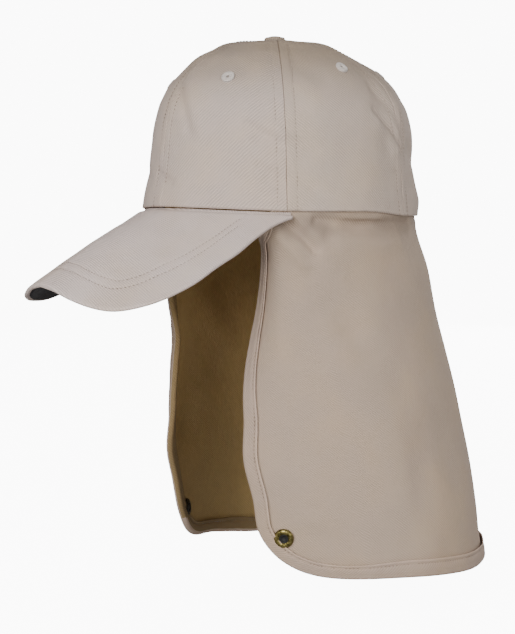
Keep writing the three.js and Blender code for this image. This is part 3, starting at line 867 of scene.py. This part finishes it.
def peak_skin():
    """The peak's top cloth: tucked under the crown, stitched in two rows, and wrapped round
    the edge of the board on to its underside."""
    columns = 220
    share = np.linspace(-1, 1, columns + 1)
    width = peak_width(share)
    rows, over = [], []
    margin = crown_point(share * PEAK_HALF_ANGLE, 0 * share)
    inward = crown_normal(share * PEAK_HALF_ANGLE, 0 * share)
    rows.append(margin - inward * PANEL_WALL - [0, 0, PIECE_GAP])
    over.append(np.full(columns + 1, -PANEL_WALL))
    reach = 1 - PEAK_EDGE_ROLL / width
    for out in np.linspace(0, 1, 62):
        at = out * reach
        along = at * width
        up = peak_normal(share, at)
        relief = waves(share * 110, along, 77, 6, 80, 22) * smooth_share(along, 0, 12)
        relief = PEAK_UNEVENNESS * relief
        # each stitch row sinks in, and the cloth dips where it meets the crown
        for row in PEAK_STITCH_ROWS:
            from_row = width - along - stitch_inset(row, share)
            relief = relief - PEAK_STITCH_SINK * bell(from_row, 0.9) * smooth_share(width, 26, 40)
        relief = relief - PEAK_RIM_DIP * bell(along, 2.2)
        rows.append(peak_point(share, at) + up * relief[:, None])
        over.append(along)
    edge = peak_point(share, reach)
    up = peak_normal(share, reach)
    beyond = unit(peak_point(share, np.ones_like(share)) - edge)
    for turn in np.radians(np.linspace(0, 180, 9))[1:]:
        away = beyond * math.sin(turn) - up * (1 - math.cos(turn))
        rows.append(edge + away * PEAK_EDGE_ROLL)
        over.append(width - PEAK_EDGE_ROLL + PEAK_EDGE_ROLL * turn)
    flange = np.minimum(5, width * 0.3)
    rows.append(edge - beyond * flange[:, None] - up * 2 * PEAK_EDGE_ROLL)
    over.append(width + 3 + flange)
    points = np.array(rows)
    # the cloth is laid flat over the board, so its wales run straight
    wrapped = np.maximum(np.array(over) - width, 0)
    flat = np.stack([points[..., 0], points[..., 1] * 1.2 - wrapped], -1)
    cosine, sine = math.cos(PEAK_GRAIN), math.sin(PEAK_GRAIN)
    grain = np.array([[cosine, sine], [-sine, cosine]])
    piece = cloth_from("peak_cloth", points[::-1], (flat @ grain)[::-1], 0.9)
    wear(piece, peak_painted_light_twill)
    settle(piece, "twill", "peak")
    for row in PEAK_STITCH_ROWS:
        fit = share[np.abs(share) < PEAK_STITCH_SHARES[-1]]
        at = 1 - stitch_inset(row, fit) / peak_width(fit)
        sew(peak_point(fit, at), peak_normal(fit, at), rise=-0.15)


def peak_lining():
    """The black cloth under the peak, from the crown's rim to just inside the edge."""
    share = np.linspace(-1, 1, 181)
    width = peak_width(share)
    rows, over = [], []
    margin = crown_point(share * PEAK_HALF_ANGLE, 0 * share)
    inward = crown_normal(share * PEAK_HALF_ANGLE, 0 * share)
    depth = PEAK_THICKNESS + PIECE_GAP + 1
    rows.append(margin - inward * PANEL_WALL - [0, 0, PIECE_GAP + depth])
    over.append(np.full(len(share), -PANEL_WALL))
    for out in np.linspace(0, 1, 50):
        at = out * np.maximum(1 - 3 / width, 0.3)
        rows.append(peak_point(share, at) - peak_normal(share, at) * depth)
        over.append(at * width)
    points = np.array(rows)
    along = np.stack([share[None, :] * 118 + 0 * np.array(over), np.array(over)], -1)
    piece = cloth_from("peak_underside_cloth", points, along, 0.8)
    wear(piece, black_twill)
    settle(piece, "underside_cloth", "peak_underside")


peak_skin()
peak_lining()

# Neck flap

FLAP_UNDER_BINDING = 3.0
EDGE_EASE = 10
# A point inside the flap, which tells inward from outward along its edge
FLAP_MIDDLE = (0, 60, -150)
BINDING_SEWN = 2.8
BINDING_CLEARANCE = 0.35
BINDING_FOLD_STARTS = 0.4
# The binding is narrower up the front edges, most of all near the top
BINDING_SIDE_SHARE = 0.78
BINDING_TOP_SHARE = 0.8
# Above this height most of the fold shows the darker reverse, as painted shade
BINDING_PAINTED_SHADE_ABOVE = -222


def flap_relief(angle, level):
    """How far the flap's cloth stands off its main form: soft dents and folds, which die out
    at the snaps, and front edges that curl in."""
    down = level * FLAP_DROP
    dents = waves((angle - math.pi) * FLAP_RADIUS, down * 0.6, 31, 8, 150, 34)
    dents = DENT_DEPTH * dents * smooth_share(level, 0.02, 0.2)
    folds = creases(FLAP_CREASES, angle, down, FLAP_DEGREE) * smooth_share(level, 0, 0.015)
    aside = np.minimum(angle, 2 * math.pi - angle) - FLAP_START
    snap_aside = angle_in(SNAP_FROM_EDGE, np.array(SNAP_ROW)) - FLAP_START
    snap_level = row_at(FLAP_SECTIONS, np.array(SNAP_ROW))[0]
    from_snap = np.hypot((aside - snap_aside) * SNAP_FROM_EDGE / snap_aside,
                         (level - snap_level) * FLAP_DROP)
    curl = 2 * EDGE_CURL * (1 - smooth_share(aside, -EDGE_CURL_SPREAD, EDGE_CURL_SPREAD))
    near_curl = curl * between(level, *NEAR_CURL_LEVELS)
    plump = FAR_BULGE * bell(aside - FAR_BULGE_IN, FAR_BULGE_IN * 0.8)
    far_curl = (curl * FAR_CURL_SHARE - plump) * between(level, *FAR_CURL_LEVELS)
    inward = np.where(angle < math.pi, near_curl, far_curl)
    return (dents + folds) * (1 - bell(from_snap, SNAP_CALM)) - inward


def flap_surface(angle, place):
    """Outside of the flap's cloth, with its folds."""
    level = row_at(FLAP_SECTIONS, np.maximum(place, 0))[..., 0]
    point = flap_point(angle, place)
    relief = flap_relief(angle, level) * np.where(place > 0, 1, 0)
    return point + flap_normal(angle, place) * relief[..., None]


def flap_skin():
    """The flap's sheet of twill, to just under its binding, with its flat sizes in metres."""
    columns, rows = 290, 128
    places = even_places(lambda p: flap_point(np.full_like(p, math.pi), p), -1, HEM_ROW, 400)
    depth_run = travelled(flap_point(np.full(400, math.pi), places), 0)
    places = np.interp(np.linspace(0, depth_run[-1] - FLAP_UNDER_BINDING, rows + 1), depth_run, places)
    place = places[:, None]
    start = angle_in(FLAP_UNDER_BINDING, places)[:, None]
    angle = start + (2 * math.pi - 2 * start) * np.linspace(0, 1, columns + 1)[None, :]
    place = place + 0 * angle
    point = flap_surface(angle, place)
    across = travelled(point, 1)
    across = across - across[:, columns // 2][:, None]
    down = travelled(point, 0)
    piece = cloth_from("flap_cloth", point[::-1], np.stack([across, -down], -1)[::-1], 0.8)
    # the inside wears the darker reverse, partly painted shade
    wear(piece, flap_twill, flap_inner_face_painted_shade)
    piece.modifiers["wall"].material_offset = 1
    piece.modifiers["wall"].material_offset_rim = 0
    settle(piece, "twill", "neck_flap")
    flat_width = float(across[-1].max() - across[-1].min())
    flat_length = float(down.max())
    steps = np.diff(across, axis=1)[:-1] * np.diff(down, axis=0)[:, :-1]
    return piece, flat_width * METRES, flat_length * METRES, float(steps.sum()) * METRES ** 2


flap, flap_width, flap_length, flap_area = flap_skin()


def edge_path(count):
    """The flap's free edge as angles and places, and how far along it they lie: down the left
    front edge, round the hem and up the right front edge, with its corners eased."""
    half = [(FLAP_START, place) for place in np.linspace(0.9, HEM_ROW, 170)]
    half += [(angle, HEM_ROW) for angle in np.linspace(FLAP_START, math.pi, 260)[1:]]
    half = np.array(half)
    path = np.concatenate([half, np.stack([2 * math.pi - half[::-1, 0], half[::-1, 1]], -1)[1:]])
    run = travelled(flap_surface(path[:, 0], path[:, 1]), 0)
    at = np.linspace(0, run[-1], count)
    even = np.stack([np.interp(at, run, path[:, k]) for k in range(2)], -1)
    reach = round(EDGE_EASE / (at[1] - at[0]))
    window = np.ones(2 * reach + 1) / (2 * reach + 1)
    for k in range(2):
        even[reach:-reach, k] = np.convolve(even[:, k], window, "valid")
    return even, at


def inset_paths(path, step, count):
    """Paths that lie one step after another in from the flap's edge, over its surface."""
    angle, place = path[:, 0], path[:, 1]
    tangent = unit(np.gradient(flap_surface(angle, place), axis=0))
    side = unit(np.cross(tangent, flap_normal(angle, place)))
    quarter = len(side) // 4
    inward = np.array(FLAP_MIDDLE) - flap_surface(angle, place)[quarter]
    side = side * np.sign(np.sum(side[quarter] * inward))
    near_angle, near_place = 0.004, 0.02
    paths = [path]
    for _ in range(count):
        by_angle = (flap_surface(angle + near_angle, place)
                    - flap_surface(angle - near_angle, place)) / (2 * near_angle)
        by_place = (flap_surface(angle, place + near_place)
                    - flap_surface(angle, place - near_place)) / (2 * near_place)
        aa, ap, pp = (np.sum(one * other, -1) for one, other in (
            (by_angle, by_angle), (by_angle, by_place), (by_place, by_place)))
        sa, sp = np.sum(side * by_angle, -1), np.sum(side * by_place, -1)
        over = aa * pp - ap * ap
        angle = angle + (sa * pp - sp * ap) / over * step
        place = place + (sp * aa - sa * ap) / over * step
        paths.append(np.stack([angle, place], -1))
    return np.array(paths), side


def binding():
    """A strip of twill folded round the edge, its two wings sewn through the flap."""
    path, run = edge_path(640)
    step = 0.5
    paths, side = inset_paths(path, step, round(BINDING_WIDTH / step) + 1)

    aside = np.minimum(path[:, 0], 2 * math.pi - path[:, 0]) - FLAP_START
    at_hem = smooth_share(aside, CORNER_SPREAD / 2, CORNER_SPREAD * 1.1)
    level = row_at(FLAP_SECTIONS, np.maximum(path[:, 1], 0))[..., 0]
    below_top = smooth_share(level, 0.1, 0.6)
    narrow = BINDING_SIDE_SHARE + (1 - BINDING_SIDE_SHARE) * at_hem
    narrow = narrow * (BINDING_TOP_SHARE + (1 - BINDING_TOP_SHARE) * below_top)
    columns = np.arange(len(path))

    def on_flap(distance):
        reach = distance * narrow / step
        before = np.minimum(reach.astype(int), len(paths) - 2)
        share = (reach - before)[:, None]
        at = paths[before, columns] * (1 - share) + paths[before + 1, columns] * share
        return flap_surface(at[:, 0], at[:, 1]), flap_normal(at[:, 0], at[:, 1])

    pucker = waves(run, 0 * run, 17, 6, 14, 5)
    outside = BINDING_CLEARANCE + BINDING_CLOTH
    half = (2 * outside + FLAP_THICKNESS) / 2
    sewn = BINDING_WIDTH - BINDING_SEWN
    first = BINDING_FOLD_STARTS

    def wing(distance):
        swell = 0.5 * bell(distance - 5, 3.2) - 0.5 * bell(distance - sewn, 0.9)
        ridge = 0.7 * bell(distance - BINDING_WIDTH, 0.8)
        return swell + ridge + 0.25 * pucker * bell(distance - sewn, 3.4)

    rows, over = [], []
    for distance in np.linspace(BINDING_WIDTH, first, 17):
        point, up = on_flap(distance)
        rows.append(point + up * (outside + wing(distance))[:, None])
        over.append(distance)
    point, up = on_flap(first)
    centre = point - up * (FLAP_THICKNESS / 2)
    for turn in np.radians(np.linspace(15, 165, 9)):
        rows.append(centre + up * (half * math.cos(turn)) - side * (half * 0.8 * math.sin(turn)))
        over.append(first - half * turn)
    for distance in np.linspace(first, BINDING_WIDTH, 15):
        point, up = on_flap(distance)
        rows.append(point - up * (outside + FLAP_THICKNESS + wing(distance) * 0.8)[:, None])
        over.append(-first - half * math.pi - distance)
    points = np.array(rows)
    along = np.stack(np.broadcast_arrays(run[None, :], np.array(over)[:, None]), -1)
    piece = cloth_from("flap_edge_binding", points, along, 0.55)
    wear(piece, binding_twill, binding_inner_face_painted_shade)
    # the inner wing wears the darker reverse, partly painted shade, and so does most of the fold up the
    # front edges, where it is painted shade
    layer = piece.data.uv_layers["cloth"].data
    for face in piece.data.polygons:
        high = face.center.z >= BINDING_PAINTED_SHADE_ABOVE * METRES
        dark_from = -half * 0.75 if high else -half * math.pi - 1
        face.material_index = 1 if layer[face.loop_start].uv.y / METRES < dark_from else 0
    settle(piece, "twill", "flap_binding")
    point, up = on_flap(sewn)
    for face, lift in ((1, outside + 0.15), (-1, outside + FLAP_THICKNESS + 0.15)):
        sew(point[4:-4] + up[4:-4] * lift * face, up[4:-4] * face, width=0.6)
    return piece


settle(stitching("seam_stitching", crown_thread), "eyelet_thread")
bound_edge = binding()
settle(stitching("binding_stitching", binding_thread), "eyelet_thread")

# Snaps

# Share of the ring's half width, from its middle, that wears the painted shade
SNAP_RECESS_SHARE = 0.45


def snap(side, sign):
    """A ring with its post on the flap's outside, and the socket on its inside."""
    row = np.array(SNAP_ROW)
    angle = angle_in(SNAP_FROM_EDGE, row)
    if sign < 0:
        angle = 2 * math.pi - angle
    point, up = flap_point(angle, row), flap_normal(angle, row)
    base = PIECE_GAP + SNAP_SEAT
    half = SNAP_WIDTH / 2
    post = 2.2
    low = -FLAP_THICKNESS - PIECE_GAP - SNAP_SEAT - 1.8
    ring = [(0, low), (post, low), (post, base), (half - 0.5, base)]
    ring += arc(half - 0.5, base + 0.45, 0.5, 0.45, -90, 40, 6)
    ring += arc(half - 2.1, base + 0.75, 1.75, 1.15, 20, 165, 12)
    ring += [(half * 0.42, base + 0.9), (half * 0.36, base + 1.15), (half * 0.30, base + 0.95)]
    ring += [(1.9, base + 0.5), (1.7, base + 0.1), (0, base + 0.1)]

    def notches(co):
        radius = math.hypot(co.x, co.y)
        turn = math.atan2(co.y, co.x)
        dip = bell(radius - half * 0.52, 0.55) * max(0, math.sin(turn * 9)) ** 4
        return Vector((0, 0, -0.35 * dip if co.z > base + 0.6 else 0))

    cap = turned(f"snap_ring_{side}", ring, 96, point, up, notches)
    wear(cap, ring_brass, snap_hollow_painted_shade)
    for face in cap.data.polygons:
        away = Vector(face.center) / METRES - Vector(point)
        out = (away - Vector(up) * away.dot(Vector(up))).length
        face.material_index = 1 if out < half * SNAP_RECESS_SHARE else 0
    settle(cap, "snap_brass", f"snap_{side}_cap")
    top = -FLAP_THICKNESS - PIECE_GAP - SNAP_SEAT
    cup = [(2.5, top), (2.5, top - 1.8), (3.4, top - 2.0), (4.2, top - 1.5), (5.2, top - 1.6)]
    cup += arc(5.6, top - 0.9, 0.6, 0.7, -90, 60, 7) + [(5.6, top), (2.5, top)]
    socket = turned(f"snap_socket_{side}", cup, 72, point, up)
    wear(socket, socket_brass)
    settle(socket, "snap_brass", f"snap_{side}_socket")
    return cap, socket


metal = [piece for side, sign in SIDES for piece in snap(side, sign)]

# Studio: a pale floor, soft lights, and a camera at the photograph's angle

AZIMUTH = math.radians(55)
ELEVATION = math.radians(4)
DISTANCE = 1.05
TARGET = Vector((-0.0093, -0.0133, -0.0743))
SENSOR = 36
# A focal length of 1475 pixels, in a picture 634 pixels high
LENS = 1475 * SENSOR / 634
SKY_STRENGTH = 0.4

toward = Vector((math.sin(AZIMUTH) * math.cos(ELEVATION),
                 -math.cos(AZIMUTH) * math.cos(ELEVATION), math.sin(ELEVATION)))
camera = bpy.data.objects.new("camera", bpy.data.cameras.new("camera"))
camera.data.lens = LENS
camera.data.sensor_width = SENSOR
camera.location = TARGET + toward * DISTANCE
camera.rotation_euler = toward.to_track_quat("Z", "Y").to_euler()
bpy.context.scene.collection.objects.link(camera)
bpy.context.scene.camera = camera

FLOOR_LEVEL = -0.276
FLOOR_RADIUS = 5
WALL_CURVE = 2
WALL_HEIGHT = 6


def backdrop():
    """A pale round floor that curves up into a wall on every side. It lights nothing."""
    outline = [(0, 0), (1, 0), (FLOOR_RADIUS - WALL_CURVE, 0)]
    outline += arc(FLOOR_RADIUS - WALL_CURVE, WALL_CURVE, WALL_CURVE, WALL_CURVE, -85, 0, 12)
    outline.append((FLOOR_RADIUS, WALL_HEIGHT))
    metres = [(radius / METRES, height / METRES) for radius, height in outline]
    piece = turned("pale_floor", metres, 64, (0, 0, FLOOR_LEVEL / METRES), (0, 0, 1))
    look = Look("pale_floor", linear(236, 236, 236), Roughness=0.95,
                Emission_Color=(1, 1, 1, 1), Emission_Strength=10.0)
    wear(piece, look.material)
    for sight in ("visible_diffuse", "visible_glossy", "visible_shadow"):
        setattr(piece, sight, False)


backdrop()
world = bpy.data.worlds.new("studio")
bpy.context.scene.world = world
world.use_nodes = True
sky = world.node_tree.nodes["Background"]
sky.inputs["Color"].default_value = (1.0, 1.0, 1.0, 1)
sky.inputs["Strength"].default_value = SKY_STRENGTH


def softbox(name, azimuth, elevation, distance, size, watts):
    """A square soft light aimed at the cap."""
    lamp = bpy.data.lights.new(name, "AREA")
    lamp.shape, lamp.size, lamp.energy = "SQUARE", size, watts
    a, e = math.radians(azimuth), math.radians(elevation)
    away = Vector((math.sin(a) * math.cos(e), -math.cos(a) * math.cos(e), math.sin(e)))
    light = bpy.data.objects.new(name, lamp)
    light.location = TARGET + away * distance
    light.rotation_euler = away.to_track_quat("Z", "Y").to_euler()
    bpy.context.scene.collection.objects.link(light)


# Where each light stands, in degrees and metres, then its size and its strength
softbox("key", 32, 17, 2.0, 1.2, 42)
softbox("fill", 85, 10, 2.2, 1.4, 21)
softbox("back", 205, 16, 2.4, 1.6, 24)
